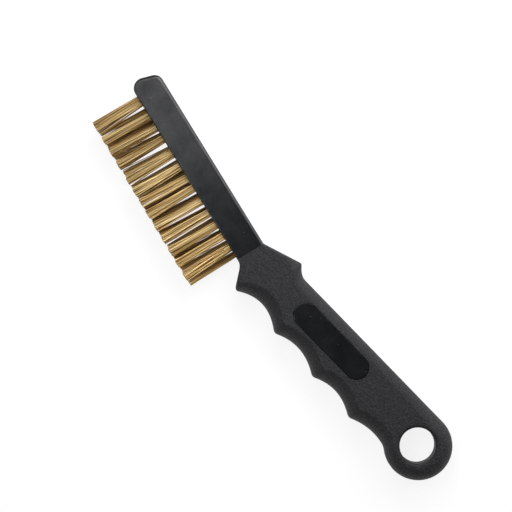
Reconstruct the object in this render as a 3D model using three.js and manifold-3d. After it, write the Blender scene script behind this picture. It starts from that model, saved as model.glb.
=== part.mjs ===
// Hand wire brush: a slim stock with two rows of brass tufts, and a moulded grip over the stock's tang.
// Millimetres. X runs from the tip of the stock towards the hanging ring, Y from the wires to the back
// and Z up through the brush as it lies on its side. The origin is under the middle of the brush.
import * as THREE from 'three';
import { mergeGeometries, mergeVertices } from 'three/addons/utils/BufferGeometryUtils.js';
import Module from 'manifold-3d';

const wasm = await Module();
wasm.setup();

// Clearance between pieces that fit together
const FIT = 0.3;

// Thickness of the stock and of the grip, whose faces run flush through the seam
const THICKNESS = 16;

// Tufts and the wires in them; the pitch tightens a little towards the handle
const TUFT_PITCH = 5.75;
const PITCH_EASE = 0.1;
const TUFT_DIAMETER = 3;
const TUFT_TIP_DIAMETER = 4.2;
const FIRST_TUFT = 7.6;
const LAST_TUFT_MARGIN = 2.7;
const ROW_SPACING = 5.75;
const ROW_SHIFT = 4.7;
const TRIM_LENGTH = 20.8;
const END_LEAN = THREE.MathUtils.degToRad(2);
const WIRE_RADIUS = 0.28;
const WIRE_RINGS = [1, 5, 10];
const ROOT_DEPTH = 6;
const SLICE_THICKNESS = 0.8;
const SLICE_MARGIN = 0.2;

// Flat metal anchors that hold the folded tufts in their holes
const ANCHOR_BITE = 0.4;
const ANCHOR_WIDTH = 2;
const ANCHOR_THICKNESS = 0.5;
const ANCHOR_COVER = 0.8;

// Stock: the smooth bar that carries the tufts
const STOCK_LENGTH = 82.9;
const STOCK_DEPTH = 12.4;
const STOCK_EDGE = 1;
const TIP_SLANT = THREE.MathUtils.degToRad(20);
const TIP_FACE_RADIUS = 3.8;
const TIP_BACK_RADIUS = 3;

// Tang inside the grip, the pad that shows through the grip and the posts that key the two together
const TANG_LENGTH = 84;
const TANG_ROOT = 9;
const TANG_COVER = 2;
const TANG_THICKNESS = 6;
const PAD_LENGTH = 39.3;
const PAD_WIDTH = 10;
const PAD_CENTRE = new THREE.Vector2(49.6, 4.3);
const PAD_RECESS = 0.3;
const POST_RADIUS = 2;
const POST_INSET = 6;
const POST_FROM_SEAM = 18;

// Grip, measured along its own axis from the seam at the wire face of the stock
const GRIP_TURN = THREE.MathUtils.degToRad(12.55);
const GRIP_LENGTH = 104.6;
const SHOULDER_PLACE = 18.8;
const SHOULDER_HEIGHT = 17.3;
const SHOULDER_FALL = 5.8;
const SHOULDER_ROUND = 0.6;
const GUARD_FOOT = 2.2;
const GUARD_PLACE = 8.2;
const CUSP_ROUND = 1.2;
const FINGER_WIDTHS = [23.4, 23.3, 21.9];
const FINGER_DEPTHS = [4.5, 3.5, 3.3, 1.8];
const CUSP_REACHES = [9.5, 10.1, 11.35, 12.3];
const RING_RADIUS = 13.85;
const RING_ENTRY = 9.3;
const HOLE_RADIUS = 7.3;
const HOLE_RIM = 1.2;
const HOLE_SETBACK = 0.55;

// Rounds of the grip's edges: how wide they are on the face, how far down they reach and where they start
const EDGE_RUN = 6;
const FINGER_EDGE_WIDTH = 5.5;
const FINGER_EDGE_LAND = 0.3;
const FINGER_EDGE_START = 4.5;
const BACK_EDGE_WIDTH = 4.5;
const BACK_EDGE_DROP = 4.8;
const BACK_EDGE_START = 14.5;
const RING_EDGE_WIDTH = 5;
const RING_EDGE_DROP = 6.2;
const RING_EDGE_FROM = 16.6;
const RING_EDGE_TO = 4.6;

// Facets
const STATION_STEP = 2;
const CORNER_STEPS = 4;
const RING_STEPS = 40;
const ROOT_SIDES = 8;

// Sizes worked out from the driving dimensions
const backRowStart = FIRST_TUFT + ROW_SHIFT;
const backRowLength = STOCK_LENGTH - LAST_TUFT_MARGIN - backRowStart;
const tuftGaps = Math.round(backRowLength / TUFT_PITCH);
const sliceWidth = TUFT_DIAMETER + 2 * SLICE_MARGIN;
const anchorLength = TUFT_DIAMETER + 2 * ANCHOR_BITE;
const anchorPlace = ROOT_DEPTH - ANCHOR_COVER - FIT - ANCHOR_WIDTH / 2;
const seamBackPlace = STOCK_DEPTH * Math.sin(GRIP_TURN);
const seamBackHeight = STOCK_DEPTH * Math.cos(GRIP_TURN);
const tangWidth = seamBackHeight - 2 * TANG_COVER;
const tangCentre = new THREE.Vector2((TANG_LENGTH - TANG_ROOT) / 2, seamBackHeight / 2);
const postPlaces = [POST_FROM_SEAM, TANG_LENGTH - POST_INSET];
const cuspPlaces = [GUARD_PLACE];
for (const width of FINGER_WIDTHS) cuspPlaces.push(cuspPlaces.at(-1) + width);
const stockEdge = { width: STOCK_EDGE, drop: STOCK_EDGE };
const fingerEdge = {
  width: FINGER_EDGE_WIDTH,
  drop: THICKNESS / 2 - FINGER_EDGE_LAND,
  start: FINGER_EDGE_START,
};
const backEdge = { width: BACK_EDGE_WIDTH, drop: BACK_EDGE_DROP, start: BACK_EDGE_START };
const ringEdge = { width: RING_EDGE_WIDTH, drop: RING_EDGE_DROP };
const gripFrame = new THREE.Matrix4().makeRotationZ(GRIP_TURN).setPosition(STOCK_LENGTH, 0, 0);

// Rows of tufts, with the back row shifted towards the handle and spread between its own two ends
const rows = [
  { name: 'front', x: FIRST_TUFT, z: ROW_SPACING / 2, length: tuftGaps * TUFT_PITCH },
  { name: 'back', x: backRowStart, z: -ROW_SPACING / 2, length: backRowLength },
];
for (const row of rows) {
  row.places = Array.from({ length: tuftGaps + 1 }, (_, i) => {
    const share = i / tuftGaps;
    return row.length * (share + PITCH_EASE * share * (1 - share));
  });
}

const materials = {
  stock: new THREE.MeshStandardMaterial({ color: 0x2b2c2f, roughness: 0.4, metalness: 0 }),
  grip: new THREE.MeshStandardMaterial({ color: 0x262628, roughness: 0.7, metalness: 0 }),
  wire: new THREE.MeshStandardMaterial({ color: 0xb59a63, roughness: 0.35, metalness: 1 }),
  anchor: new THREE.MeshStandardMaterial({ color: 0x9a9b98, roughness: 0.4, metalness: 1 }),
};

// Closed solid from a geometry whose facets meet
function solid(geometry) {
  const bare = geometry.clone();
  bare.deleteAttribute('normal');
  bare.deleteAttribute('uv');
  const merged = mergeVertices(bare);
  const index = Array.from(merged.index.array);
  const triangles = [];
  for (let i = 0; i < index.length; i += 3) {
    const [a, b, c] = index.slice(i, i + 3);
    if (a !== b && b !== c && c !== a) triangles.push(a, b, c);
  }
  return new wasm.Manifold(new wasm.Mesh({
    numProp: 3,
    vertProperties: new Float32Array(merged.attributes.position.array),
    triVerts: new Uint32Array(triangles),
  }));
}

// Named mesh from a solid
function part(name, body, material) {
  const { vertProperties, triVerts } = body.getMesh();
  const geometry = new THREE.BufferGeometry();
  geometry.setAttribute('position', new THREE.BufferAttribute(vertProperties, 3));
  geometry.setIndex(new THREE.BufferAttribute(triVerts, 1));
  geometry.computeVertexNormals();
  const mesh = new THREE.Mesh(geometry, material);
  mesh.name = name;
  return mesh;
}

function box(width, depth, height, x, y, z) {
  return new THREE.BoxGeometry(width, depth, height).translate(x, y, z);
}

// Prism on an outline, between two heights
function prism(outline, bottom, top) {
  const options = { depth: top - bottom, bevelEnabled: false, curveSegments: 2 * CORNER_STEPS };
  return new THREE.ExtrudeGeometry(outline, options).translate(0, 0, bottom);
}

// Upright post of round section
function post(radius, height, x, y, z) {
  return new THREE.CylinderGeometry(radius, radius, height, 4 * CORNER_STEPS)
    .rotateX(Math.PI / 2)
    .translate(x, y, z);
}

// Straight-sided outline with round ends, lying along X
function stadium(centre, length, width) {
  const radius = width / 2;
  const reach = length / 2 - radius;
  const outline = new THREE.Shape();
  outline.absarc(centre.x + reach, centre.y, radius, -Math.PI / 2, Math.PI / 2, false);
  outline.absarc(centre.x - reach, centre.y, radius, Math.PI / 2, 1.5 * Math.PI, false);
  return outline;
}

// Outline of the stock from the side: a slanted tip with two round corners, running past the seam
function stockOutline() {
  const half = (Math.PI / 2 - TIP_SLANT) / 2;
  const faceRun = TIP_FACE_RADIUS / Math.tan(half);
  const tipFoot = TIP_FACE_RADIUS - faceRun;
  const tipTop = tipFoot + STOCK_DEPTH * Math.tan(TIP_SLANT);
  const backX = tipTop + TIP_BACK_RADIUS * Math.tan(half);
  const end = STOCK_LENGTH + 2 * STOCK_EDGE;
  const tipNormal = Math.PI - TIP_SLANT;
  const outline = new THREE.Shape();
  outline.moveTo(end, 0);
  outline.lineTo(end, STOCK_DEPTH);
  outline.absarc(backX, STOCK_DEPTH - TIP_BACK_RADIUS, TIP_BACK_RADIUS, Math.PI / 2, tipNormal, false);
  outline.absarc(TIP_FACE_RADIUS, TIP_FACE_RADIUS, TIP_FACE_RADIUS, tipNormal, 1.5 * Math.PI, false);
  return outline;
}

// Stock with its rounded edges, cut square at the seam
function stockBar() {
  const bar = new THREE.ExtrudeGeometry(stockOutline(), {
    depth: THICKNESS - 2 * STOCK_EDGE,
    bevelThickness: STOCK_EDGE,
    bevelSize: STOCK_EDGE,
    bevelOffset: -STOCK_EDGE,
    bevelSegments: 2,
    curveSegments: 2 * CORNER_STEPS,
  }).translate(0, 0, STOCK_EDGE - THICKNESS / 2);
  const overrun = 4 * STOCK_EDGE;
  const middle = STOCK_LENGTH + overrun / 2;
  const beyond = box(overrun, 2 * STOCK_DEPTH, 2 * THICKNESS, middle, STOCK_DEPTH / 2, 0);
  return solid(bar).subtract(solid(beyond));
}

// Tang and pad in the grip's own axes, grown by a clearance where the grip is hollowed for them
function tang(clearance) {
  const length = TANG_LENGTH + TANG_ROOT + 2 * clearance;
  const bar = stadium(tangCentre, length, tangWidth + 2 * clearance);
  const pad = stadium(PAD_CENTRE, PAD_LENGTH + 2 * clearance, PAD_WIDTH + 2 * clearance);
  const half = TANG_THICKNESS / 2 + clearance;
  const padTop = clearance > 0 ? THICKNESS : THICKNESS / 2 - PAD_RECESS;
  return [prism(bar, -half, half), prism(pad, -half, padTop)];
}

// Posts of the grip, or the holes in the tang that they fill
function keys(radius, height) {
  return postPlaces.map((place) => post(radius, height, place, tangCentre.y, 0));
}

// Channel, root hole and anchor pocket cut for one row of tufts
function rowCuts(row) {
  const depth = SLICE_THICKNESS + FIT;
  const length = row.length + TUFT_DIAMETER + 2 * (SLICE_MARGIN + FIT);
  const cuts = [
    box(length, 2 * depth, sliceWidth + 2 * FIT, row.x + row.length / 2, 0, row.z),
  ];
  for (const place of row.places) {
    const x = row.x + place;
    const radius = TUFT_DIAMETER / 2 + FIT;
    const bore = ROOT_DEPTH + FIT;
    cuts.push(new THREE.CylinderGeometry(radius, radius, bore, ROOT_SIDES).translate(x, bore / 2, row.z));
    cuts.push(box(
      anchorLength + 2 * FIT,
      ANCHOR_WIDTH + 2 * FIT,
      ANCHOR_THICKNESS + 2 * FIT,
      x,
      anchorPlace,
      row.z,
    ));
  }
  return cuts;
}

// Stock, tang and pad in one moulding
function stockBody() {
  let body = stockBar();
  for (const piece of tang(0)) body = body.add(solid(piece.applyMatrix4(gripFrame)));
  for (const hole of keys(POST_RADIUS + FIT, 2 * TANG_THICKNESS)) {
    body = body.subtract(solid(hole.applyMatrix4(gripFrame)));
  }
  for (const cut of rows.flatMap(rowCuts)) body = body.subtract(solid(cut));
  return body;
}

// One wire: a three-sided prism from its root to its tip
function wire(root, tip) {
  const section = new THREE.Shape();
  for (let side = 0; side < 3; side += 1) {
    const angle = (side * 2 * Math.PI) / 3;
    section.lineTo(WIRE_RADIUS * Math.cos(angle), WIRE_RADIUS * Math.sin(angle));
  }
  const run = new THREE.Vector3().subVectors(tip, root);
  const upright = new THREE.Vector3(0, 0, 1);
  const turn = new THREE.Quaternion().setFromUnitVectors(upright, run.clone().normalize());
  return new THREE.ExtrudeGeometry(section, { depth: run.length(), bevelEnabled: false, steps: 1 })
    .applyQuaternion(turn)
    .translate(root.x, root.y, root.z);
}

// The wires of one tuft: rings that spread towards the tips, with the tufts by the stock's tip leaning out
function tuftWires(place, rowLength) {
  const fromMiddle = (2 * place) / rowLength - 1;
  const shift = TRIM_LENGTH * Math.tan(END_LEAN) * Math.min(fromMiddle, 0) ** 3;
  const step = 1 / (WIRE_RINGS.length - 1);
  return WIRE_RINGS.flatMap((count, ring) => Array.from({ length: count }, (_, i) => {
    const angle = ((i + ring / 2) * 2 * Math.PI) / count;
    const along = Math.cos(angle) * ring * step;
    const across = Math.sin(angle) * ring * step;
    const rootReach = TUFT_DIAMETER / 2 - WIRE_RADIUS;
    const tipReach = TUFT_TIP_DIAMETER / 2 - WIRE_RADIUS;
    const root = new THREE.Vector3(place + along * rootReach, SLICE_THICKNESS / 2, across * rootReach);
    const tip = new THREE.Vector3(place + along * tipReach + shift, -TRIM_LENGTH, across * tipReach);
    return wire(root, tip);
  }));
}

// A row of tufts: wires on a slice of the stock's face, and below it the folded roots round the anchors
function bristleRow(row) {
  const length = row.length + TUFT_DIAMETER + 2 * SLICE_MARGIN;
  let body = solid(box(length, SLICE_THICKNESS, sliceWidth, row.length / 2, SLICE_THICKNESS / 2, 0));
  for (const place of row.places) {
    const radius = TUFT_DIAMETER / 2;
    const height = ROOT_DEPTH - SLICE_THICKNESS / 2;
    const root = new THREE.CylinderGeometry(radius, radius, height, ROOT_SIDES)
      .translate(place, ROOT_DEPTH - height / 2, 0);
    const fold = box(
      2 * TUFT_DIAMETER,
      ANCHOR_WIDTH + 2 * FIT,
      ANCHOR_THICKNESS + 2 * FIT,
      place,
      anchorPlace,
      0,
    );
    body = body.add(solid(root)).subtract(solid(fold));
  }
  const wires = row.places.flatMap((place) => tuftWires(place, row.length));
  return body.add(solid(mergeGeometries(wires)));
}

// Finger side of the grip at a distance from the seam: the line of the stock's wire face, the slope
// down to the guard, a hollow for each finger and then the ring
function fingerSide(place) {
  const foot = { place: GUARD_FOOT, reach: GUARD_FOOT * Math.tan(GRIP_TURN), depth: 0 };
  const cusps = CUSP_REACHES.map((reach, i) => ({ place: cuspPlaces[i], reach, depth: FINGER_DEPTHS[i] }));
  const entry = { place: GRIP_LENGTH - RING_ENTRY, reach: Math.sqrt(RING_RADIUS ** 2 - RING_ENTRY ** 2) };
  const points = [foot, ...cusps, entry];
  if (place < foot.place) return -place * Math.tan(GRIP_TURN);
  if (place > entry.place) return -Math.sqrt(RING_RADIUS ** 2 - (place - GRIP_LENGTH) ** 2);
  const next = points.findIndex((point) => point.place >= place);
  const [from, to] = [points[Math.max(next - 1, 0)], points[Math.max(next, 1)]];
  const t = (place - from.place) / (to.place - from.place);
  return 4 * from.depth * t * (1 - t) - THREE.MathUtils.lerp(from.reach, to.reach, t);
}

// Back of the grip: the line of the stock's back, the rise to the shoulder, its fall and a straight run
function backSide(place) {
  if (place < seamBackPlace) return (STOCK_DEPTH - place * Math.sin(GRIP_TURN)) / Math.cos(GRIP_TURN);
  if (place < SHOULDER_PLACE) {
    const t = (place - seamBackPlace) / (SHOULDER_PLACE - seamBackPlace);
    return THREE.MathUtils.lerp(seamBackHeight, SHOULDER_HEIGHT, t);
  }
  const fall = Math.min((place - SHOULDER_PLACE) / SHOULDER_FALL, 1);
  return RING_RADIUS + (SHOULDER_HEIGHT - RING_RADIUS) * (1 - fall) ** 2;
}

// Value of a side line with its corners rounded, as the mean over a short stretch
function rounded(line, place, stretch) {
  const samples = [-1, -2 / 3, -1 / 3, 0, 1 / 3, 2 / 3, 1];
  return samples.reduce((sum, sample) => sum + line(place + sample * stretch), 0) / samples.length;
}

// Edge that lies between two others
function blend(from, to, share) {
  return {
    width: THREE.MathUtils.lerp(from.width, to.width, share),
    drop: THREE.MathUtils.lerp(from.drop, to.drop, share),
  };
}

// Edge of the grip at a place: the stock's small edge at first, then its own and at last the ring's
function edgeAt(edge, place) {
  const grown = THREE.MathUtils.smoothstep(place, edge.start, edge.start + EDGE_RUN);
  const atRing = THREE.MathUtils.smoothstep(place, GRIP_LENGTH - RING_EDGE_FROM, GRIP_LENGTH - RING_EDGE_TO);
  return blend(blend(stockEdge, edge, grown), ringEdge, atRing);
}

// Arc of an edge from the side to the face, as places in from the side and down from the face. It stands
// upright at the side, and where it is deeper than wide it meets the face at a crease.
function edgeArc({ width, drop }) {
  const crease = Math.PI / 2 - 2 * Math.atan2(width, drop);
  const radius = drop / Math.cos(crease);
  return Array.from({ length: CORNER_STEPS + 1 }, (_, i) => {
    const angle = THREE.MathUtils.lerp(Math.PI / 2, crease, i / CORNER_STEPS);
    return [radius * (1 - Math.sin(angle)), radius * (Math.cos(crease) - Math.cos(angle))];
  });
}

// Section across the grip: the rounds of its back and finger side on the upper face, and again below
function gripSection(place) {
  const half = THICKNESS / 2;
  const low = rounded(fingerSide, place, CUSP_ROUND);
  const high = rounded(backSide, place, SHOULDER_ROUND);
  const back = edgeArc(edgeAt(backEdge, place)).map(([inset, drop]) => [high - inset, half - drop]);
  const finger = edgeArc(edgeAt(fingerEdge, place)).map(([inset, drop]) => [low + inset, half - drop]);
  const upper = [...back, ...finger.reverse()];
  const lower = upper.map(([across, level]) => [across, -level]).reverse();
  return [...upper, ...lower].map(([across, level]) => new THREE.Vector3(place, across, level));
}

// Closed skin over a row of sections with equal counts of points
function loft(sections) {
  const count = sections[0].length;
  const index = [];
  for (let s = 0; s < sections.length - 1; s += 1) {
    for (let i = 0; i < count; i += 1) {
      const [a, b] = [s * count + i, s * count + ((i + 1) % count)];
      index.push(a, b, b + count, a, b + count, a + count);
    }
  }
  const last = (sections.length - 1) * count;
  for (let i = 1; i < count - 1; i += 1) {
    index.push(0, i + 1, i, last, last + i, last + i + 1);
  }
  const geometry = new THREE.BufferGeometry().setFromPoints(sections.flat());
  geometry.setIndex(index);
  return geometry;
}

// Hanging ring: a disc with a rounded edge
function ringDisc() {
  const half = THICKNESS / 2;
  const upper = edgeArc(ringEdge).map(([inset, drop]) => new THREE.Vector2(RING_RADIUS - inset, half - drop));
  const lower = upper.map((point) => new THREE.Vector2(point.x, -point.y)).reverse();
  const profile = [new THREE.Vector2(0, -half), ...lower, ...upper, new THREE.Vector2(0, half)];
  return new THREE.LatheGeometry(profile, RING_STEPS).rotateX(Math.PI / 2).translate(GRIP_LENGTH, 0, 0);
}

// What the hanging hole takes out of the ring, with its rounded rims
function hangingHole() {
  const half = THICKNESS / 2;
  const rim = Array.from({ length: CORNER_STEPS + 1 }, (_, i) => {
    const angle = (i / CORNER_STEPS) * (Math.PI / 2);
    return [HOLE_RADIUS + HOLE_RIM * (1 - Math.sin(angle)), half - HOLE_RIM * (1 - Math.cos(angle))];
  });
  const upper = rim.reverse().map(([radius, height]) => new THREE.Vector2(radius, height));
  const lower = upper.map((point) => new THREE.Vector2(point.x, -point.y)).reverse();
  const past = half + HOLE_RIM;
  const profile = [
    new THREE.Vector2(0, -past),
    new THREE.Vector2(HOLE_RADIUS + HOLE_RIM, -past),
    ...lower,
    ...upper,
    new THREE.Vector2(HOLE_RADIUS + HOLE_RIM, past),
    new THREE.Vector2(0, past),
  ];
  return new THREE.LatheGeometry(profile, RING_STEPS)
    .rotateX(Math.PI / 2)
    .translate(GRIP_LENGTH - HOLE_SETBACK, 0, 0);
}

// Places of the grip's sections: even steps, with three sections over each cusp and the shoulder
function stations() {
  const start = -STOCK_EDGE - FIT;
  const count = Math.round((GRIP_LENGTH - start) / STATION_STEP);
  const corners = [...cuspPlaces.map((place) => [place, CUSP_ROUND]), [SHOULDER_PLACE, SHOULDER_ROUND]];
  const peaks = corners.flatMap(([place, stretch]) => [place - stretch, place, place + stretch]);
  const even = Array.from({ length: count + 1 }, (_, i) => start + ((GRIP_LENGTH - start) * i) / count)
    .filter((place) => peaks.every((peak) => Math.abs(peak - place) > CUSP_ROUND / 2));
  return [...even, ...peaks].sort((a, b) => a - b);
}

// Grip in its own axes: a loft to the ring, hollowed for the tang and cut square at the seam
function gripBody() {
  const reach = 2 * STOCK_DEPTH;
  const ahead = box(reach, 2 * reach, 2 * THICKNESS, STOCK_LENGTH + FIT - reach / 2, 0, 0)
    .applyMatrix4(gripFrame.clone().invert());
  let body = solid(loft(stations().map(gripSection))).add(solid(ringDisc())).subtract(solid(hangingHole()));
  for (const hollow of tang(FIT)) body = body.subtract(solid(hollow));
  for (const key of keys(POST_RADIUS, TANG_THICKNESS + 4 * FIT)) body = body.add(solid(key));
  return body.subtract(solid(ahead));
}

// Anchors of one row, driven across the folds of its tufts
function anchors(row) {
  return row.places.map((place, i) => {
    const body = solid(box(anchorLength, ANCHOR_WIDTH, ANCHOR_THICKNESS, 0, 0, 0));
    const anchor = part(`anchor_${row.name}_${String(i + 1).padStart(2, '0')}`, body, materials.anchor);
    anchor.position.set(row.x + place, anchorPlace, row.z);
    return anchor;
  });
}

const assembly = new THREE.Group();
assembly.add(part('stock', stockBody(), materials.stock));

const gripGroup = new THREE.Group();
gripGroup.applyMatrix4(gripFrame);
gripGroup.add(part('grip', gripBody(), materials.grip));
assembly.add(gripGroup);

for (const row of rows) {
  const bristles = part(`bristle_row_${row.name}`, bristleRow(row), materials.wire);
  bristles.position.set(row.x, 0, row.z);
  assembly.add(bristles, ...anchors(row));
}

const extent = new THREE.Box3().setFromObject(assembly, true);
const middle = extent.getCenter(new THREE.Vector3());
assembly.position.set(-middle.x, -middle.y, -extent.min.z);

const brush = new THREE.Group();
brush.name = 'wire_brush';
brush.add(assembly);

export default brush;
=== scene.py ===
# %% [markdown]
# # A brass wire brush
# This lesson dresses a small hand brush: a slim black stock with two rows of brass tufts, and a black
# grip with finger hollows and a hanging ring. The construction model gives every size. Its pieces could
# be rounded off with Blender's bevels, but a surface that is a function of two parameters says exactly
# where each round starts and ends. So numpy works out every new piece on a grid.

# %% Load the frame
import math

import bmesh
import bpy
import numpy as np
from mathutils import Matrix, Vector


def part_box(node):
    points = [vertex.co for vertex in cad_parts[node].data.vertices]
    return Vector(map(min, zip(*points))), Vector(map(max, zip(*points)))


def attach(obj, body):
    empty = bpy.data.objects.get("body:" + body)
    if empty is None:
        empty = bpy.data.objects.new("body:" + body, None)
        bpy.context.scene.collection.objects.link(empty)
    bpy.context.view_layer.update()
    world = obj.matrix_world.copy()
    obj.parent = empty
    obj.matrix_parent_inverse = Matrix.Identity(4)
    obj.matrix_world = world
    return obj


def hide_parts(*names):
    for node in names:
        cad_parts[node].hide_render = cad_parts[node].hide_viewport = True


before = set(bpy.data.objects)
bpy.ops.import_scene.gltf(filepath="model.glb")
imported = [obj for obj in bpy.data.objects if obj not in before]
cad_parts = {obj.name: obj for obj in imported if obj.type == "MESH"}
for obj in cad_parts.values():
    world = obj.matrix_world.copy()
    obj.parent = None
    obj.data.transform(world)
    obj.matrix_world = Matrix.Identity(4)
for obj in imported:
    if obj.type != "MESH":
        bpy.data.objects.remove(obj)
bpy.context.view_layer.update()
print("frame holds", len(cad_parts), "nodes")

# %% [markdown]
# ## The brush's own axes
# It is easier to think in millimetres from the tip of the stock: x along the stock, y from the wire face
# to the back, and z from the middle of the thickness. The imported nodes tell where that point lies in
# the frame. The grip turns a little towards the back, so it has axes of its own from the seam onwards.

# %% Axes and shared sizes
MM = 0.001
TRIM_LENGTH = 20.8
STOCK_LENGTH = 82.9
STOCK_DEPTH = 12.4
THICKNESS = 16.0
GRIP_TURN = math.radians(12.55)
GRIP_LENGTH = 104.6

stock_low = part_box("stock")[0]
row_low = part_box("bristle_row_front")[0]
grip_low, grip_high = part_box("grip")
START = np.array([
    stock_low.x,
    row_low.y + TRIM_LENGTH * MM,
    (grip_low.z + grip_high.z) / 2,
])


def in_frame(points):
    """Points in millimetres on the stock's axes, moved into the frame in metres"""
    return np.asarray(points, float) * MM + START


def from_grip(points):
    """Points on the grip's axes, turned about the seam's corner onto the stock's axes"""
    along, across, height = np.moveaxis(np.asarray(points, float), -1, 0)
    x = STOCK_LENGTH + along * math.cos(GRIP_TURN) - across * math.sin(GRIP_TURN)
    y = along * math.sin(GRIP_TURN) + across * math.cos(GRIP_TURN)
    return np.stack([x, y, height], -1)


print("the tip of the stock lies at", [round(float(v), 4) for v in START])

# %% [markdown]
# ## Camera
# The picture looks straight at the brush's side, which here faces up, from a long way off. A constraint
# could aim the camera, but it leaves open which way is up. A matrix of three directions doesn't: the
# camera hangs over the brush and is turned until the stock points to the upper left. The width of the
# view at the brush's middle height sets the lens.

# %% Camera
VIEW_DISTANCE = 1.25
VIEW_WIDTH = 0.2068
STOCK_SLOPE = math.radians(58.4)
SENSOR_WIDTH = 36.0
VIEW_CENTRE = Vector((-0.0139, -0.0007, START[2]))

view_right = Vector((math.cos(STOCK_SLOPE), math.sin(STOCK_SLOPE), 0.0))
view_up = Vector((-math.sin(STOCK_SLOPE), math.cos(STOCK_SLOPE), 0.0))
view_back = Vector((0.0, 0.0, 1.0))

camera_data = bpy.data.cameras.new("camera")
camera_data.sensor_width = SENSOR_WIDTH
camera_data.lens = SENSOR_WIDTH * VIEW_DISTANCE / VIEW_WIDTH
camera = bpy.data.objects.new("camera", camera_data)
turn = Matrix((view_right, view_up, view_back)).transposed().to_4x4()
camera.matrix_world = Matrix.Translation(VIEW_CENTRE + view_back * VIEW_DISTANCE) @ turn
bpy.context.scene.collection.objects.link(camera)
bpy.context.scene.camera = camera
print("lens", round(camera_data.lens, 1), "mm")

# %% [markdown]
# ## Turning grids into pieces
# Every surface below is a grid of points: a stack of closed loops. These helpers number its quads, make
# the mesh and close both ends with a cap. Points that fall together, as where the two halves of the ring
# meet, are merged, and then all the faces are turned outwards.

# %% Grids to meshes
MERGE_DISTANCE = 1e-7


def grid_quads(rows, columns):
    """Corner numbers of the quads between neighbouring rows of a grid, whose rows are closed loops"""
    row, column = np.meshgrid(np.arange(rows - 1), np.arange(columns), indexing="ij")
    beside = (column + 1) % columns
    corners = [row * columns + column, row * columns + beside]
    corners += [(row + 1) * columns + beside, (row + 1) * columns + column]
    return np.stack(corners, -1).reshape(-1, 4)


def make_piece(name, points, faces):
    """A mesh object from points in metres, with doubles merged and faces turned outwards"""
    mesh = bpy.data.meshes.new(name)
    mesh.from_pydata(points.reshape(-1, 3).tolist(), [], [list(map(int, face)) for face in faces])
    shape = bmesh.new()
    shape.from_mesh(mesh)
    bmesh.ops.remove_doubles(shape, verts=shape.verts, dist=MERGE_DISTANCE)
    bmesh.ops.dissolve_degenerate(shape, edges=shape.edges, dist=MERGE_DISTANCE)
    bmesh.ops.recalc_face_normals(shape, faces=shape.faces)
    shape.to_mesh(mesh)
    shape.free()
    piece = bpy.data.objects.new(name, mesh)
    bpy.context.scene.collection.objects.link(piece)
    return piece


def skin(name, loops):
    """A closed piece over a stack of closed loops, with a flat cap on the first and the last"""
    rows, columns = loops.shape[:2]
    faces = grid_quads(rows, columns).tolist()
    last = (rows - 1) * columns
    faces.append(list(range(columns)))
    faces.append(list(range(last, last + columns)))
    return make_piece(name, in_frame(loops), faces)


# %% [markdown]
# ## Cutting and finishing
# A drilled hole is one solid taken out of another, so the holes are cut by a boolean. The result is kept
# as plain mesh, and the cutters are deleted. Edges sharper than a set angle stay crisp, and the rest is
# shaded smooth. The count of open edges tells at once whether a piece is closed.

# %% Cutting and finishing
SHARP_ANGLE = math.radians(40)


def cut(piece, *cutters):
    """Takes the cutters out of a piece, deletes them and keeps the result as plain mesh"""
    for cutter in cutters:
        modifier = piece.modifiers.new("cut", "BOOLEAN")
        modifier.object = cutter
        modifier.operation = "DIFFERENCE"
        modifier.solver = "MANIFOLD"
    graph = bpy.context.evaluated_depsgraph_get()
    result = bpy.data.meshes.new_from_object(piece.evaluated_get(graph))
    piece.modifiers.clear()
    piece.data = result
    for cutter in cutters:
        bpy.data.objects.remove(cutter)


def open_edges(mesh):
    """Count of the edges that don't have a face on both sides"""
    edges = np.empty(len(mesh.loops), int)
    mesh.loops.foreach_get("edge_index", edges)
    return int(np.sum(np.bincount(edges, minlength=len(mesh.edges)) != 2))


def finish_piece(piece, material, slot, *nodes):
    """Shades a piece, gives it its finish and ties it to the frame in place of the nodes named"""
    piece.data.polygons.foreach_set("use_smooth", np.ones(len(piece.data.polygons), bool))
    piece.data.set_sharp_from_angle(angle=SHARP_ANGLE)
    piece.data.materials.clear()
    piece.data.materials.append(material)
    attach(piece, "root")
    if nodes:
        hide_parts(*nodes)
    print(piece.name, "has", len(piece.data.polygons), "faces and", open_edges(piece.data), "open edges")


# %% [markdown]
# ## Building finishes from nodes
# A finish is a small graph of nodes that feeds one shader. It could be joined up by hand in the shader
# editor, but with a helper that takes values and sockets alike, each finish reads as a short list. Every
# pattern reads the piece's own coordinates, so it needs no picture and no unwrapping.

# %% Material helpers
COLOUR_SOCKETS = (6, 7)
COLOUR_RESULT = 2


def new_material(name):
    """An empty node material with its output and one shader"""
    material = bpy.data.materials.new(name)
    material.use_nodes = True
    nodes = material.node_tree.nodes
    nodes.clear()
    output = nodes.new("ShaderNodeOutputMaterial")
    shader = nodes.new("ShaderNodeBsdfPrincipled")
    material.node_tree.links.new(shader.outputs["BSDF"], output.inputs["Surface"])
    return material, shader


def add_node(owner, kind, inputs=None, **settings):
    """A node of a material or a world with its settings, whose inputs are values or sockets"""
    node = owner.node_tree.nodes.new(kind)
    for name, value in settings.items():
        setattr(node, name, value)
    for name, value in (inputs or {}).items():
        if isinstance(value, bpy.types.NodeSocket):
            owner.node_tree.links.new(value, node.inputs[name])
        else:
            node.inputs[name].default_value = value
    return node


def noise(material, scale, detail=2.0, roughness=0.5):
    """Noise over the piece's own coordinates, in features of about one over the scale in metres"""
    place = add_node(material, "ShaderNodeTexCoord").outputs["Object"]
    inputs = {"Vector": place, "Scale": scale, "Detail": detail, "Roughness": roughness}
    return add_node(material, "ShaderNodeTexNoise", inputs).outputs["Fac"]


def between(material, factor, low, high):
    """A factor from nought to one, spread between two values"""
    inputs = {"Value": factor, "To Min": low, "To Max": high}
    return add_node(material, "ShaderNodeMapRange", inputs).outputs["Result"]


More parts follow.
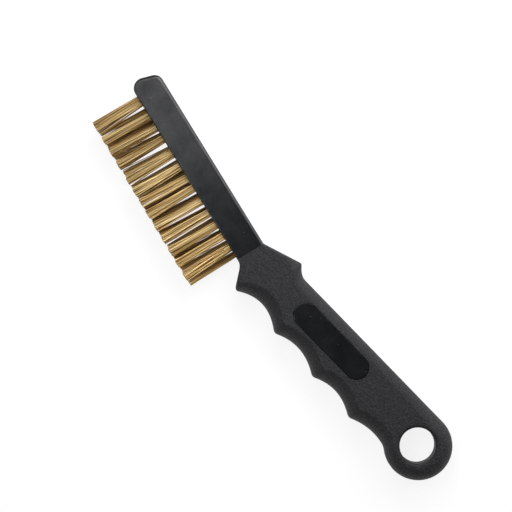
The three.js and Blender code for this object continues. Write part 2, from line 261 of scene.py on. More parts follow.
def blend_colours(material, factor, first, second):
    """A colour between two colours, mixed in the sockets that the node keeps for colours"""
    mix = add_node(material, "ShaderNodeMix", {0: factor}, data_type="RGBA")
    for socket, colour in zip(COLOUR_SOCKETS, (first, second)):
        if isinstance(colour, bpy.types.NodeSocket):
            material.node_tree.links.new(colour, mix.inputs[socket])
        else:
            mix.inputs[socket].default_value = (*colour, 1.0)
    return mix.outputs[COLOUR_RESULT]


def bump(material, height, strength, distance):
    """A bump from a height"""
    inputs = {"Height": height, "Strength": strength, "Distance": distance}
    return add_node(material, "ShaderNodeBump", inputs).outputs["Normal"]


# %% [markdown]
# ## Polished plastic
# The stock and the pad come out of a polished mould. They shine softly, and handling leaves haze, smudges
# and a few specks of dust on them. An even gloss would look like new glass, and a picture of dirt would
# have to be wrapped round each piece. Noise that varies the colour, the gloss and the shine needs neither.

# %% Polished plastic
HAZE_SCALE = 140.0
HAZE_DETAIL = 6.0
HAZE_ROUGHNESS = 0.8
CLEAN_BLACK = (0.0020, 0.0028, 0.0042)
HAZED_BLACK = (0.0030, 0.0042, 0.0058)
POLISH_ROUGHNESS = (0.18, 0.25)
POLISH_SHINE = (0.1, 0.9)
DUST_SCALE = 260.0
DUST_SIZE = 0.07
DUST_GREY = (0.06, 0.06, 0.06)
RIPPLE_SCALE = 900.0
RIPPLE_STRENGTH = 0.05
RIPPLE_DEPTH = 0.0001


def specks(material, scale, size):
    """One in small round specks, about one over the scale apart in metres, and nought elsewhere"""
    place = add_node(material, "ShaderNodeTexCoord").outputs["Object"]
    cells = add_node(material, "ShaderNodeTexVoronoi", {"Vector": place, "Scale": scale})
    inputs = {"Value": cells.outputs["Distance"], "From Min": size / 2, "From Max": size}
    inputs.update({"To Min": 1.0, "To Max": 0.0})
    return add_node(material, "ShaderNodeMapRange", inputs).outputs["Result"]


def polished_plastic():
    """Black plastic from a polished mould, with haze, smudges, dust and a faint ripple"""
    material, shader = new_material("polished_plastic")
    link = material.node_tree.links.new
    haze = noise(material, HAZE_SCALE, HAZE_DETAIL, HAZE_ROUGHNESS)
    black = blend_colours(material, haze, CLEAN_BLACK, HAZED_BLACK)
    dust = specks(material, DUST_SCALE, DUST_SIZE)
    link(blend_colours(material, dust, black, DUST_GREY), shader.inputs["Base Color"])
    link(between(material, haze, *POLISH_ROUGHNESS), shader.inputs["Roughness"])
    link(between(material, haze, *POLISH_SHINE), shader.inputs["Specular IOR Level"])
    ripple = noise(material, RIPPLE_SCALE)
    link(bump(material, ripple, RIPPLE_STRENGTH, RIPPLE_DEPTH), shader.inputs["Normal"])
    return material


polished = polished_plastic()
print("finish:", polished.name)

# %% [markdown]
# ## Etched plastic
# The mould of the grip is etched, so that the handle doesn't slip. The plastic takes up a leathery grain
# under a millimetre across, which breaks up the light. Modelling every pit would take millions of faces.
# A bump tilts the shading instead, and the same noise makes the pits duller than the ridges. It also
# paints shade into the pits, so that they are darker than the ridges.

# %% Etched plastic
GRAIN_SCALE = 1350.0
GRAIN_DETAIL = 3.0
GRAIN_ROUGHNESS = 0.6
GRAIN_CONTRAST = (-0.9, 1.9)
# Colour of the pits: painted shade, darker where the grain sinks
PIT_PAINTED_SHADE = (0.0020, 0.0016, 0.0036)
RIDGE_BLACK = (0.0170, 0.0162, 0.0192)
ETCH_ROUGHNESS = (0.74, 0.54)
GRAIN_STRENGTH = 1.0
GRAIN_DEPTH = 0.0005


def etched_plastic():
    """Black plastic with a leathery grain, dull in its pits, with painted shade that darkens them"""
    material, shader = new_material("etched_plastic")
    link = material.node_tree.links.new
    grain = noise(material, GRAIN_SCALE, GRAIN_DETAIL, GRAIN_ROUGHNESS)
    # The grain's tone, with painted shade in its pits
    shade = between(material, grain, *GRAIN_CONTRAST)
    link(blend_colours(material, shade, PIT_PAINTED_SHADE, RIDGE_BLACK), shader.inputs["Base Color"])
    link(between(material, grain, *ETCH_ROUGHNESS), shader.inputs["Roughness"])
    link(bump(material, grain, GRAIN_STRENGTH, GRAIN_DEPTH), shader.inputs["Normal"])
    return material


etched = etched_plastic()
print("finish:", etched.name)

# %% [markdown]
# ## Drawn brass
# The wires are drawn brass, and each has tarnished by itself, from pale gold to brown. A material for
# each tone would split the tufts into many pieces. Here every point of the mesh carries its wire's tone
# as an attribute, and one material turns that number into a colour.

# %% Drawn brass
BROWN_BRASS = (0.335, 0.178, 0.046)
PALE_BRASS = (0.86, 0.675, 0.335)
BRASS_FILM_SCALE = 700.0
BRASS_ROUGHNESS = (0.30, 0.45)
BRASS_METAL = 0.9


def drawn_brass():
    """Brass wire in tones from brown to pale gold, one tone to a wire"""
    material, shader = new_material("drawn_brass")
    link = material.node_tree.links.new
    tone = add_node(material, "ShaderNodeAttribute", attribute_name="tone").outputs["Fac"]
    film = noise(material, BRASS_FILM_SCALE)
    link(blend_colours(material, tone, BROWN_BRASS, PALE_BRASS), shader.inputs["Base Color"])
    link(between(material, film, *BRASS_ROUGHNESS), shader.inputs["Roughness"])
    shader.inputs["Metallic"].default_value = BRASS_METAL
    return material


brass = drawn_brass()
print("finish:", brass.name)

# %% [markdown]
# ## Anchors
# Each tuft is folded over a flat strip of plated steel that bites into the wall of its hole. The strips
# could be modelled again, but they are out of sight. So the construction model's strips stay as they are
# and only take a finish, with a film that is dull in some places and bright in others.

# %% Anchors
DULL_ZINC = (0.34, 0.34, 0.33)
BRIGHT_ZINC = (0.52, 0.52, 0.50)
ZINC_FILM_SCALE = 600.0
ZINC_ROUGHNESS = (0.32, 0.50)


def dull_steel():
    """Zinc-plated strip for the anchors in the tuft holes"""
    material, shader = new_material("dull_steel")
    link = material.node_tree.links.new
    film = noise(material, ZINC_FILM_SCALE)
    link(blend_colours(material, film, DULL_ZINC, BRIGHT_ZINC), shader.inputs["Base Color"])
    link(between(material, film, *ZINC_ROUGHNESS), shader.inputs["Roughness"])
    shader.inputs["Metallic"].default_value = 1.0
    return material


steel = dull_steel()
anchors = [node for name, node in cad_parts.items() if name.startswith("anchor_")]
for anchor in anchors:
    anchor.data.materials.clear()
    anchor.data.materials.append(steel)
print(len(anchors), "anchors take", steel.name)

# %% [markdown]
# ## Stock
# From the side the stock is a bar with a slanted tip and two round corners. A bevelled box could come
# close, but its edges aren't alike: they are softly rounded at the tip and along the back, and nearly
# sharp along the wire face. So a loop of points runs round the outline, each with a direction inwards
# that is shorter where the round is narrower.

# %% Stock outline
TIP_SETBACK = 0.33
TIP_SLANT = math.radians(17.2)
TIP_FACE_RADIUS = 4.3
TIP_BACK_RADIUS = 3.7
STOCK_EDGE = 1.3
FACE_EDGE = 0.5
SIDE_POINTS = 60
TIP_POINTS = 8
BACK_CORNER_POINTS = 16
FACE_CORNER_POINTS = 24


def arc(centre, radius, start, end, count):
    """Points on an arc, a radius from its centre, and the directions that point to the centre"""
    angle = np.linspace(start, end, count)
    outwards = np.stack([np.cos(angle), np.sin(angle)], -1)
    return np.asarray(centre) + radius * outwards, -outwards


def run(start, end, inwards, count):
    """Points evenly along a straight line, without its two ends, all with one direction inwards"""
    points = np.linspace(start, end, count)[1:-1]
    return points, np.broadcast_to(np.asarray(inwards, float), points.shape)


def corner(place, inwards):
    """One point of an outline"""
    return np.array([place], float), np.array([inwards], float)


def stock_outline():
    """The outline from the seam along the back, round the slanted tip and along the wire face

    Two arcs round the corners of the tip. Along the arc at the wire face, the direction inwards shortens
    evenly from the full edge to the narrow one.
    """
    half = (math.pi / 2 - TIP_SLANT) / 2
    face_centre = (TIP_SETBACK + TIP_FACE_RADIUS, TIP_FACE_RADIUS)
    tip_top = face_centre[0] - TIP_FACE_RADIUS / math.tan(half) + STOCK_DEPTH * math.tan(TIP_SLANT)
    back_centre = (tip_top + TIP_BACK_RADIUS * math.tan(half), STOCK_DEPTH - TIP_BACK_RADIUS)
    tip_normal = math.pi - TIP_SLANT
    seam_back, seam_face = (STOCK_LENGTH, STOCK_DEPTH), (STOCK_LENGTH, 0)
    back, back_in = arc(back_centre, TIP_BACK_RADIUS, math.pi / 2, tip_normal, BACK_CORNER_POINTS)
    face, face_in = arc(face_centre, TIP_FACE_RADIUS, tip_normal, 1.5 * math.pi, FACE_CORNER_POINTS)
    face_share = FACE_EDGE / STOCK_EDGE
    face_in = face_in * np.linspace(1, face_share, len(face))[:, None]
    stretches = [
        corner(seam_back, (0, -1)),
        run(seam_back, back[0], (0, -1), SIDE_POINTS),
        (back, back_in),
        run(back[-1], face[0], back_in[-1], TIP_POINTS),
        (face, face_in),
        run(face[-1], seam_face, (0, face_share), SIDE_POINTS),
        corner(seam_face, (0, face_share)),
    ]
    return tuple(np.concatenate(part) for part in zip(*stretches))


outline, outline_inwards = stock_outline()
print("the stock's outline has", len(outline), "points")

# %% [markdown]
# ## From an outline to a plate
# The outline is stacked through the thickness. At both faces the loops draw in along a quarter circle,
# which a bevel modifier could do too, though not with a width that changes. One more loop lies a hair
# further in: this hem keeps the shading of the flat faces flat.

# %% Stock bar
EDGE_LOOPS = 9
EDGE_HEM = 0.2


def edge_stack(half_height, edge):
    """Insets and heights of the loops that round both edges of a plate, with a hem inside each face

    Over a quarter turn, the inset is the edge's radius times one less the sine, and the height falls by
    the radius times one less the cosine.
    """
    angle = np.linspace(0, math.pi / 2, EDGE_LOOPS)
    inset = np.append(edge + EDGE_HEM, edge * (1 - np.sin(angle)))
    height = np.append(half_height, half_height - edge * (1 - np.cos(angle)))
    return np.append(inset, inset[::-1]), np.append(height, -height[::-1])


def stacked(outline, inwards, inset, height):
    """Loops of an outline at each height, drawn in by the inset there times the direction inwards"""
    plan = outline + np.asarray(inset)[:, None, None] * inwards
    level = np.broadcast_to(np.asarray(height)[:, None, None], (*plan.shape[:2], 1))
    return np.concatenate([plan, level], -1)


bar_loops = stacked(outline, outline_inwards, *edge_stack(THICKNESS / 2, STOCK_EDGE))
stock_bar = skin("stock_bar", bar_loops)
print("the stock's bar has", len(bar_loops), "loops")

# %% [markdown]
# ## Tuft holes
# The holes are drilled in two rows, not quite evenly, and the tufts of the back row stand in the gaps of
# the front row. Most tufts lean a little towards the tip of the stock. An even pitch would be shorter to
# write, but it closes gaps that are open on the real brush. So the places of the roots and tips along the
# stock were read off the picture, and serve the drills here and the wires further on. The first hole is a
# long one that takes two bundles, and the last tuft is a thin one.

# %% Tuft places and the drilled stock
ROW_SPACING = 5.75
HOLE_RADIUS = 1.75
HOLE_DEPTH = 6.3
DRILL_OVERRUN = 2.0
DRILL_SIDES = 28
LAST_FULLNESS = 0.8
FRONT_ROOTS = (7.3, 8.6, 15.0, 20.5, 25.9, 33.1, 39.0, 44.4, 49.1, 55.2, 60.9, 66.5, 71.7, 77.1)
FRONT_TIPS = (7.15, 8.8, 14.1, 19.6, 25.5, 33.0, 38.4, 43.5, 48.5, 54.6, 60.5, 66.1, 71.6, 77.4)
BACK_ROOTS = (12.7, 17.9, 24.2, 30.6, 37.0, 42.0, 47.5, 53.0, 59.4, 64.4, 70.3, 75.4, 80.3)
BACK_TIPS = (11.6, 16.6, 22.5, 29.7, 36.5, 40.8, 46.2, 51.8, 57.9, 64.8, 68.8, 74.3, 80.4)

front_fullness = np.ones(len(FRONT_ROOTS))
back_fullness = np.append(np.ones(len(BACK_ROOTS) - 1), LAST_FULLNESS)
rows = {
    "front": (np.array(FRONT_ROOTS), np.array(FRONT_TIPS), front_fullness, ROW_SPACING / 2),
    "back": (np.array(BACK_ROOTS), np.array(BACK_TIPS), back_fullness, -ROW_SPACING / 2),
}


def drill(x, z, radius):
    """A round drill that stands out of the wire face: a circle at two depths"""
    angle = np.linspace(0, 2 * math.pi, DRILL_SIDES, endpoint=False)
    depth = np.array([-DRILL_OVERRUN, HOLE_DEPTH])[:, None]
    across, height = x + radius * np.cos(angle), z + radius * np.sin(angle)
    return skin("drill", np.stack(np.broadcast_arrays(across, depth, height), -1))


drills = []
for roots, tips, fullness, depth in rows.values():
    drills += [drill(x, depth, HOLE_RADIUS * full) for x, full in zip(roots, fullness)]
cut(stock_bar, *drills)
finish_piece(stock_bar, polished, "stock_plastic", "stock")

# %% [markdown]
# ## Lines of the grip
# Seen from the side, the finger side of the grip is a row of hollows between cusps, and the back rises to
# a shoulder for the thumb and falls again. Splines through hand-set points would do, but each hollow has
# a width and a depth that a hand would ask for. So every hollow is a parabola between two cusps, and the
# corners are rounded by taking the mean over a short stretch.

# %% Lines of the grip
GUARD_FOOT = 2.2
GUARD_PLACE = 8.2
FINGER_WIDTHS = np.array([23.4, 23.3, 21.9])
FINGER_DEPTHS = np.array([4.5, 3.5, 3.3, 1.8])
CUSP_REACHES = np.array([9.5, 10.1, 11.35, 12.3])
CUSP_ROUND = 1.2
SHOULDER_PLACE = 19.2
SHOULDER_HEIGHT = 17.6
SHOULDER_FALL = 5.8
SHOULDER_ROUND = 0.6
RING_RADIUS = 13.85
RING_ENTRY = 9.3
ROUND_SAMPLES = 13
seam_back_place = STOCK_DEPTH * math.sin(GRIP_TURN)
seam_back_height = STOCK_DEPTH * math.cos(GRIP_TURN)


def finger_line(place):
    """The stock's wire face, the slope to the guard, a hollow for each finger and then the ring

    A hollow is four times its depth, times the share along it, times one less that share, below the
    straight line between its cusps. The ring is a circle.
    """
    entry_reach = math.sqrt(RING_RADIUS ** 2 - RING_ENTRY ** 2)
    cusps = GUARD_PLACE + np.append(0, np.cumsum(FINGER_WIDTHS))
    places = np.concatenate([[GUARD_FOOT], cusps, [GRIP_LENGTH - RING_ENTRY]])
    reaches = np.concatenate([[GUARD_FOOT * math.tan(GRIP_TURN)], CUSP_REACHES, [entry_reach]])
    depths = np.append(0, FINGER_DEPTHS)
    stretch = np.clip(np.searchsorted(places, place) - 1, 0, len(depths) - 1)
    share = (place - places[stretch]) / (places[stretch + 1] - places[stretch])
    hollows = 4 * depths[stretch] * share * (1 - share) - np.interp(place, places, reaches)
    ring = -np.sqrt(np.maximum(RING_RADIUS ** 2 - (place - GRIP_LENGTH) ** 2, 0))
    line = np.where(place < GUARD_FOOT, -place * math.tan(GRIP_TURN), hollows)
    return np.where(place > places[-1], ring, line)


def back_line(place):
    """The stock's back, the straight rise to the shoulder, its fall and the straight run to the ring

    The fall is a parabola that flattens out into the straight run.
    """
    stock = (STOCK_DEPTH - place * math.sin(GRIP_TURN)) / math.cos(GRIP_TURN)
    rise = (place - seam_back_place) / (SHOULDER_PLACE - seam_back_place)
    slope = seam_back_height + rise * (SHOULDER_HEIGHT - seam_back_height)
    fall = np.clip((place - SHOULDER_PLACE) / SHOULDER_FALL, 0, 1)
    straight = RING_RADIUS + (SHOULDER_HEIGHT - RING_RADIUS) * (1 - fall) ** 2
    return np.where(place < seam_back_place, stock, np.where(place < SHOULDER_PLACE, slope, straight))


def softened(line, place, reach):
    """A line with its corners rounded: its mean over a short stretch, which shrinks to none at the ring"""
    reach = np.minimum(reach, GRIP_LENGTH - place)[:, None]
    return line(place[:, None] + reach * np.linspace(-1, 1, ROUND_SAMPLES)).mean(-1)


print("the grip has", len(FINGER_DEPTHS), "hollows for the fingers")

# %% [markdown]
# ## Rounds of the grip
# The edge of the grip isn't the same all along. It starts as the stock's own edge in the seam, and grows
# to a deep round on the finger side, which leaves the flat face at a crease, and to a soft one on the
# back. The ring has a round of its own. One bevel can't do that, so the width and the drop of the round
# are functions of the place along the grip.

# %% Rounds of the grip
FINGER_EDGE = (5.5, 7.7)
BACK_EDGE = (4.5, 4.8)
RING_EDGE = (5.0, 6.2)
FINGER_EDGE_RUN = (4.5, 10.5)
BACK_EDGE_RUN = (12.0, 19.5)
RING_EDGE_RUN = (88.0, 100.0)
EDGE_STEPS = 16


def ease(value, start, end):
    """A smooth step from nought to one: three times the square of the share less twice its cube"""
    share = np.clip((value - start) / (end - start), 0, 1)
    return share ** 2 * (3 - 2 * share)


def edge_arc(place, growth, first, full):
    """Reach and drop along the round of an edge, from the face's crease to where it stands upright

    The arc's width and drop grow from the first round, in the seam, to the full round of the grip, and
    settle to those of the ring. A circle that is w wide and h deep starts at a slope of a right angle
    less twice the arc tangent of w over h.
    """
    at_ring = ease(place, *RING_EDGE_RUN)
    grown = [start + growth * (size - start) for start, size in zip(first, full)]
    width, drop = [(size + at_ring * (ring - size))[:, None] for size, ring in zip(grown, RING_EDGE)]
    crease = math.pi / 2 - 2 * np.arctan(width / drop)
    angle = crease + (math.pi / 2 - crease) * np.linspace(0, 1, EDGE_STEPS)
    radius = drop / np.cos(crease)
    return width, radius * (np.sin(angle) - np.sin(crease)), radius * (np.cos(crease) - np.cos(angle))


finger_crease = math.pi / 2 - 2 * math.atan2(*FINGER_EDGE)
print("the finger side leaves the face at", round(math.degrees(finger_crease), 1), "degrees")

# %% [markdown]
# ## Skin of the grip
# The grip is a skin over sections. Each section runs from the finger side to the back over the upper
# face, and returns under the lower one. The first section lies in the seam, so the sections lean less
# and less after it. At the ring they fan round its centre until their two halves meet at the far end.
# Joining a handle to a ring by a boolean would leave a line between them, and a fan leaves none.

# %% Skin of the grip
LEAN_RUN = 14.0
LEAN_POWER = 1.5
FACE_STEPS = 10
FACE_HEM = 0.35
STATIONS = 300
FAN_STEPS = 32


def grip_sections(place):
    """Loops of points across the grip, one for each place along it, on the grip's axes

    Across a section: the finger side's round, the face in even steps between two hems, and the back's
    round. The height is half the thickness less the drop of the rounds.
    """
    lean = seam_back_place * np.clip(1 - place / LEAN_RUN, 0, 1) ** LEAN_POWER
    low = softened(finger_line, place, CUSP_ROUND)[:, None]
    high = softened(back_line, place + lean, SHOULDER_ROUND)[:, None]
    low_growth = ease(place, *FINGER_EDGE_RUN)
    high_growth = ease(place + lean, *BACK_EDGE_RUN)
    low_width, low_reach, low_drop = edge_arc(place, low_growth, (FACE_EDGE, STOCK_EDGE), FINGER_EDGE)
    high_width, high_reach, high_drop = edge_arc(place, high_growth, (STOCK_EDGE, STOCK_EDGE), BACK_EDGE)
    face_start, face_end = low + low_width, high - high_width
    hem_start, hem_end = face_start + FACE_HEM, face_end - FACE_HEM
    face = hem_start + np.linspace(0, 1, FACE_STEPS) * (hem_end - hem_start)
    across = np.concatenate([(face_start - low_reach)[:, ::-1], face, face_end + high_reach], 1)
    drop = np.concatenate([low_drop[:, ::-1], np.zeros(face.shape), high_drop], 1)
    level = THICKNESS / 2 - drop
    along = place[:, None] + lean[:, None] * (across - low) / (high - low)
    top = np.stack([along, across, level], -1)
    under = np.stack([along, across, -level], -1)[:, ::-1]
    return np.concatenate([top, under], 1)


def ring_fan(section):
    """The last section, fanned round the ring's centre over a quarter turn, until its two halves meet"""
    angle = np.linspace(0, math.pi / 2, FAN_STEPS)[1:, None]
    across, level = section[:, 1], section[:, 2]
    along = GRIP_LENGTH + np.abs(across) * np.sin(angle)
    return np.stack(np.broadcast_arrays(along, across * np.cos(angle), level), -1)


sections = grip_sections(np.linspace(0, GRIP_LENGTH, STATIONS))
grip_loops = from_grip(np.concatenate([sections, ring_fan(sections[-1])]))
loop_count, loop_points = grip_loops.shape[:2]
seam_cap = list(range(loop_points))
grip_faces = grid_quads(loop_count, loop_points).tolist() + [seam_cap]
grip_shell = make_piece("grip_shell", in_frame(grip_loops), grip_faces)
print("grip shell", loop_count, "loops of", loop_points, "points")

# %% [markdown]
# ## Hanging hole and pad window
# The ring has a hole to hang the brush by, with rounded rims, and the upper side has a long window for the
# smooth pad. A bevel after the cut could round the rims, but it would catch on the grip's own rounds. A
# turned cutter with flared ends bores the hole and rounds both rims at once. A pocket with round ends
# makes the window.

# %% Cut the grip
HANG_RADIUS = 7.3
HANG_SETBACK = 0.55
HANG_RIM = 1.2
HANG_SIDES = 128
RIM_STEPS = 10
RIM_LIFT = 0.02
PAD_LENGTH = 39.3
PAD_WIDTH = 10.0
PAD_PLACE = (49.6, 4.3)
PAD_END_POINTS = 28
PAD_GAP = 0.12
POCKET_DEPTH = 1.2
POCKET_OVERRUN = 1.0
face_level = THICKNESS / 2
pocket_level = face_level - POCKET_DEPTH


def hang_cutter():
    """A turned plug whose radius grows along a quarter circle at both rims"""
    angle = np.linspace(0, math.pi / 2, RIM_STEPS)
    radius = HANG_RADIUS + HANG_RIM * np.append(1 - np.cos(angle), 1)
    height = np.append(face_level - HANG_RIM * (1 - np.sin(angle)), THICKNESS) + RIM_LIFT
    radius, height = np.append(radius[::-1], radius), np.append(-height[::-1], height)
    around = np.linspace(0, 2 * math.pi, HANG_SIDES, endpoint=False)
    along = GRIP_LENGTH - HANG_SETBACK + radius[:, None] * np.cos(around)
    across = radius[:, None] * np.sin(around)
    level = np.broadcast_to(height[:, None], along.shape)
    return skin("hang_cutter", from_grip(np.stack([along, across, level], -1)))


def stadium(length, width):
    """A straight-sided outline with a half circle at each end, and the directions that point inwards"""
    reach = (length - width) / 2
    right, right_in = arc((reach, 0), width / 2, -math.pi / 2, math.pi / 2, PAD_END_POINTS)
    left, left_in = arc((-reach, 0), width / 2, math.pi / 2, 1.5 * math.pi, PAD_END_POINTS)
    return np.concatenate([right, left]) + np.array(PAD_PLACE), np.concatenate([right_in, left_in])


def pad_solid(name, grow, inset, height):
    """A solid on the pad's outline, which is grown by a gap and drawn in by the inset at each height"""
    pad_outline = stadium(PAD_LENGTH + 2 * grow, PAD_WIDTH + 2 * grow)
    return skin(name, from_grip(stacked(*pad_outline, inset, height)))


pocket = pad_solid("pocket", PAD_GAP, [0, 0], [pocket_level, face_level + POCKET_OVERRUN])
cut(grip_shell, hang_cutter(), pocket)
finish_piece(grip_shell, etched, "grip_plastic", "grip")

# %% [markdown]
# ## Pad
# The pad is a piece of the stock's moulding that shows through the window, a little lower than the grip.
# A smooth patch in the grip's material could stand for it, but a pad of its own keeps the fine dark line
# round it and takes the stock's polish. It fills the pocket, less a small gap, and its edge is rounded.

# %% Pad
PAD_RECESS = 0.2
PAD_EDGE = 0.25
PAD_EDGE_STEPS = 6
pad_level = face_level - PAD_RECESS
pad_angle = np.linspace(0, math.pi / 2, PAD_EDGE_STEPS)
pad_inset = np.concatenate([[0], PAD_EDGE * (1 - np.cos(pad_angle)), [2 * PAD_EDGE]])
pad_height = np.concatenate([[pocket_level], pad_level - PAD_EDGE * (1 - np.sin(pad_angle)), [pad_level]])
pad = pad_solid("pad", 0, pad_inset, pad_height)
finish_piece(pad, polished, "stock_plastic")

# %% [markdown]
# ## Bundles
# A tuft is a bundle of drawn wires. They fill the round hole at the root, spread and twist a little on
# the way, and gather in a few clumps at the tips, and a few stray wires cross the gaps between the tufts.
# Blender's hair could grow such wires, but they have to be closed solids here. So the ends of the wires
# are drawn by chance, from a seed that gives the same brush every time.

# %% Ends of the wires
WIRES_PER_TUFT = 44
ROOT_RADIUS = 1.56
SPREAD = (1.3, 1.5)
TWIST = 0.22
CLUMPS = 7
CLUMP_SPREAD = 0.75
CLUMP_PULL = 0.4
WANDER = 0.3
STRAYS = 0.07
STRAY_REACH = 1.0
GOLDEN_ANGLE = math.pi * (3 - math.sqrt(5))
WIRE_SEED = 16
random = np.random.default_rng(WIRE_SEED)


def disc_places(count, radius):
    """Places spread evenly over a disc: the distance grows as a root, and the angle by the golden angle"""
    step = np.arange(count) + 0.5
    distance = radius * np.sqrt(step / count)
    angle = step * GOLDEN_ANGLE
    return np.stack([distance * np.cos(angle), distance * np.sin(angle)], -1)


def turned(points, angle):
    """Places in each tuft, turned about its middle by its own angle"""
    cosine, sine = np.cos(angle)[:, None], np.sin(angle)[:, None]
    x, z = points[..., 0], points[..., 1]
    return np.stack([cosine * x - sine * z, sine * x + cosine * z], -1)


def wire_ends(fullness):
    """Roots and tips of the wires about the middles of their tufts, and the clump of each wire

    A tip is its root, turned and spread, then pulled by a share of the way to the nearest of a few
    clumps, with a little chance added.
    """
    tufts = len(fullness)
    shape = (tufts, WIRES_PER_TUFT)
    disc = disc_places(WIRES_PER_TUFT, ROOT_RADIUS) * fullness[:, None, None]
    root = turned(disc, random.uniform(0, 2 * math.pi, tufts))
    tip = turned(root, random.normal(0, TWIST, tufts)) * random.uniform(*SPREAD, (tufts, 1, 1))
    seeds = random.normal(0, CLUMP_SPREAD * ROOT_RADIUS, (tufts, CLUMPS, 2))
    clump = np.argmin(np.linalg.norm(tip[:, :, None] - seeds[:, None], axis=-1), -1)
    gathered = np.take_along_axis(seeds, clump[..., None], 1)
    tip = tip + CLUMP_PULL * (gathered - tip) + random.normal(0, WANDER, (*shape, 2))
    stray = (random.random(shape) < STRAYS)[..., None]
    return root, tip + stray * random.normal(0, STRAY_REACH, (*shape, 2)), clump


wire_count = WIRES_PER_TUFT * (len(FRONT_ROOTS) + len(BACK_ROOTS))
print("the brush takes", wire_count, "wires")

# %% [markdown]
# ## Rows of wires
# The wires are trimmed after the tufts are set, by a cut that isn't quite level: they grow a little
# towards the handle and towards the front row, and each tuft is lower at its rim. A curve object for each
# wire would be slow, so all the wires of a row are one array: tuft, wire, step along, side.

# %% Wires of a row
WIRE_RADIUS = 0.185
WIRE_STEPS = 7
WIRE_SIDES = 5
ROOT_SINK = 2.2
FLARE_POWER = 1.2
BOW = 0.13
SIDE_LEAN = 0.35
WIRE_LENGTH = 20.85
TRIM_SLOPE = 0.0125
TRIM_TILT = 0.052
TRIM_CROWN = 0.3
TRIM_SCATTER = 0.18
MIDDLE_TONE = 0.5
WIRE_TONE_SPREAD = 0.34
CLUMP_TONE_SPREAD = 0.12


def row_wires(roots, tips, fullness, depth):
    """Points on every wire of a row, shaped tuft, wire, step, side, and each wire's tone

    The middle of a wire goes from its root to its tip as a power of the share along it, so that the tuft
    flares, and bows like half a sine wave. A small circle is carried along it. The length is a slanted
    plane, less the crown of the tuft and a little chance.
    """
    tufts = len(roots)
    shape = (tufts, WIRES_PER_TUFT)
    root, tip, clump = wire_ends(fullness)
    lean = np.stack([tips - roots, random.normal(0, SIDE_LEAN, tufts)], -1)[:, None]
    share = np.linspace(0, 1, WIRE_STEPS + 1)[:, None]
    centre = np.stack([roots, np.full(tufts, depth)], -1)[:, None, None]
    bow = random.normal(0, BOW, (*shape, 1, 2)) * np.sin(math.pi * share)
    middle = centre + root[:, :, None] + (tip + lean - root)[:, :, None] * share ** FLARE_POWER + bow
    crown = TRIM_CROWN * (np.linalg.norm(tip, axis=-1) / ROOT_RADIUS) ** 2 / 2
    trim = WIRE_LENGTH + TRIM_SLOPE * tips[:, None] + TRIM_TILT * depth
    length = trim - crown - np.abs(random.normal(0, TRIM_SCATTER, shape))
    height = ROOT_SINK - share[:, 0] * (length[..., None] + ROOT_SINK)
    side = np.linspace(0, 2 * math.pi, WIRE_SIDES, endpoint=False)
    x = middle[..., 0, None] + WIRE_RADIUS * np.cos(side)
    z = middle[..., 1, None] + WIRE_RADIUS * np.sin(side)
    points = np.stack(np.broadcast_arrays(x, height[..., None], z), -1)
    clump_tone = np.take_along_axis(random.normal(0, CLUMP_TONE_SPREAD, (tufts, CLUMPS)), clump, 1)
    return points, np.clip(random.normal(MIDDLE_TONE, WIRE_TONE_SPREAD, shape) + clump_tone, 0, 1)


# %% [markdown]
# ## Wire pieces
# Each row becomes one mesh in place of the thick strands of the construction model. The faces of one wire
# are numbered once and then shifted for all the others, which is far quicker than a loop over wires. The
# tone of each wire goes with its points as an attribute, where the brass finish reads it.

# %% Wire pieces
POINTS_PER_WIRE = (WIRE_STEPS + 1) * WIRE_SIDES


def wire_faces(count):
    """Quads along every wire and a cap on each of its ends"""
    first = np.arange(count)[:, None, None] * POINTS_PER_WIRE
    quads = (grid_quads(WIRE_STEPS + 1, WIRE_SIDES)[None] + first).reshape(-1, 4)
    root_cap = np.arange(WIRE_SIDES)[None] + first[:, 0]
    tip_cap = root_cap[:, ::-1] + WIRE_STEPS * WIRE_SIDES
    return quads[:, ::-1].tolist() + root_cap.tolist() + tip_cap.tolist()


def wire_row(name, row):
    """One row of tufts as a piece, with the tone of each wire kept on its points"""
    points, tone = row_wires(*row)
    mesh = bpy.data.meshes.new(name)
    mesh.from_pydata(in_frame(points).reshape(-1, 3).tolist(), [], wire_faces(tone.size))
    attribute = mesh.attributes.new("tone", "FLOAT", "POINT")
    attribute.data.foreach_set("value", np.repeat(tone.ravel(), POINTS_PER_WIRE))
    piece = bpy.data.objects.new(name, mesh)
    bpy.context.scene.collection.objects.link(piece)
    return piece


for row_name, row in rows.items():
    wires = wire_row(f"wires_{row_name}", row)
    finish_piece(wires, brass, "brass_wire", f"bristle_row_{row_name}")

# %% [markdown]
# ## Floor
# The brush lies on white paper. Lamps that light a floor to pure white would burn out the brush. So the
# floor is a plain grey, which takes the shadow and throws little light back, and it glows only where the
# camera sees it, by itself or in something shiny.

# %% Floor
FLOOR_HALF = 3.0
FLOOR_GREY = (0.2, 0.2, 0.2, 1.0)
FLOOR_GLOW = 0.86


def seen_directly(material):
    """One where the camera sees a surface itself, or in a mirror or a lens, and nought elsewhere"""
    path = add_node(material, "ShaderNodeLightPath").outputs
    seen = path["Is Camera Ray"]
    for ray in ("Is Glossy Ray", "Is Transmission Ray"):
        seen = add_node(material, "ShaderNodeMath", {0: seen, 1: path[ray]}, operation="MAXIMUM").outputs[0]
    return seen


def white_paper():
    """A plain grey that also glows where it is seen directly"""
    material = bpy.data.materials.new("white_floor")
    material.use_nodes = True
    material.node_tree.nodes.clear()
    paper = add_node(material, "ShaderNodeBsdfDiffuse", {"Color": FLOOR_GREY})
    inputs = {0: seen_directly(material), 1: FLOOR_GLOW}
    strength = add_node(material, "ShaderNodeMath", inputs, operation="MULTIPLY").outputs[0]
    glow = add_node(material, "ShaderNodeEmission", {"Strength": strength})
    both = add_node(material, "ShaderNodeAddShader", {0: paper.outputs[0], 1: glow.outputs[0]})
    add_node(material, "ShaderNodeOutputMaterial", {"Surface": both.outputs[0]})
    return material


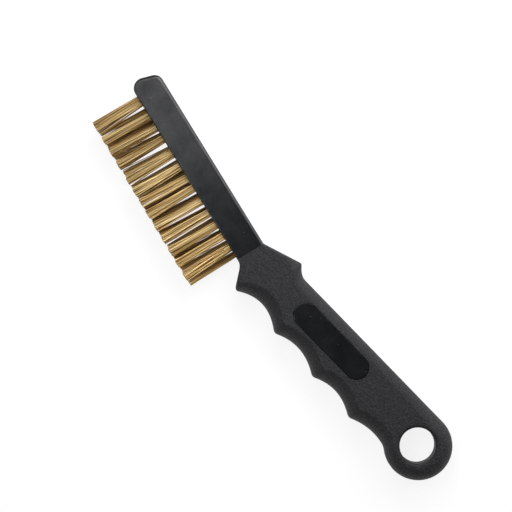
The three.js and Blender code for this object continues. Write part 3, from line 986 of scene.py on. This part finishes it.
floor_mesh = bpy.data.meshes.new("floor")
corners = [(x, y, 0.0) for x, y in ((-1, -1), (1, -1), (1, 1), (-1, 1))]
floor_mesh.from_pydata([(x * FLOOR_HALF, y * FLOOR_HALF, z) for x, y, z in corners], [], [(0, 1, 2, 3)])
floor_mesh.materials.append(white_paper())
floor = bpy.data.objects.new("floor", floor_mesh)
bpy.context.scene.collection.objects.link(floor)
print("floor", 2 * FLOOR_HALF, "m wide")

# %% [markdown]
# ## Sky
# A studio is dim overhead and bright round the walls. The sky could be one even grey, but then the upright
# sides of the brush would have nothing to mirror. Here its light fades from a bright horizon to a dim top
# with the height of the direction.

# %% Sky
SKY_LIGHT = 0.12
HORIZON_LIGHT = 1.2
HORIZON_RISE = 0.25

world = bpy.data.worlds.new("studio")
bpy.context.scene.world = world
world.use_nodes = True
direction = add_node(world, "ShaderNodeTexCoord").outputs["Generated"]
rise = add_node(world, "ShaderNodeSeparateXYZ", {"Vector": direction}).outputs["Z"]
fade_inputs = {"Value": rise, "From Max": HORIZON_RISE, "To Min": HORIZON_LIGHT, "To Max": SKY_LIGHT}
fade = add_node(world, "ShaderNodeMapRange", fade_inputs, interpolation_type="SMOOTHSTEP")
background = world.node_tree.nodes["Background"]
background.inputs["Color"].default_value = (1, 1, 1, 1)
world.node_tree.links.new(fade.outputs["Result"], background.inputs["Strength"])
print("sky from", HORIZON_LIGHT, "at the horizon to", SKY_LIGHT, "overhead")

# %% [markdown]
# ## Lamps
# One broad lamp would light the brush evenly, but a black object shows its shape only in what it mirrors.
# So each sheen has a soft lamp of its own: a small panel over the stock and a softbox past the tip for
# the sheen along the stock, one over the wires, one over the back for the shoulder, one for the line of
# light on the stock's back edge, and a broad one past the back for the rounds of the grip.

# %% Lamps
def lamp(name, right, up, height, size, watts):
    """A square area lamp, placed in the picture's own directions and aimed at the brush's middle"""
    data = bpy.data.lights.new(name, "AREA")
    data.shape = "SQUARE"
    data.size = size
    data.energy = watts
    lamp_object = bpy.data.objects.new(name, data)
    lamp_object.location = VIEW_CENTRE + right * view_right + up * view_up + height * view_back
    lamp_object.rotation_mode = "QUATERNION"
    lamp_object.rotation_quaternion = (VIEW_CENTRE - lamp_object.location).to_track_quat("-Z", "Y")
    bpy.context.scene.collection.objects.link(lamp_object)
    return lamp_object


lamps = [
    lamp("panel_over_stock", right=-0.040, up=0.065, height=0.30, size=0.06, watts=0.015),
    lamp("softbox_past_tip", right=-0.24, up=0.315, height=0.90, size=0.45, watts=1.9),
    lamp("lamp_over_wires", right=-0.297, up=-0.122, height=0.90, size=0.14, watts=0.76),
    lamp("lamp_over_back", right=0.01, up=0.165, height=0.17, size=0.12, watts=0.24),
    lamp("lamp_along_edge", right=0.050, up=0.100, height=0.15, size=0.10, watts=0.065),
    lamp("lamp_past_back", right=0.42, up=0.36, height=0.27, size=0.62, watts=2.8),
]
print(len(lamps), "lamps give", round(sum(each.data.energy for each in lamps), 2), "watts")

# %% [markdown]
# ## Picture settings
# Blender's usual view transform softens the contrast, as film does. The standard one leaves colours about
# as they are written, which suits a product picture.

# %% Picture settings
bpy.context.scene.view_settings.view_transform = "Standard"
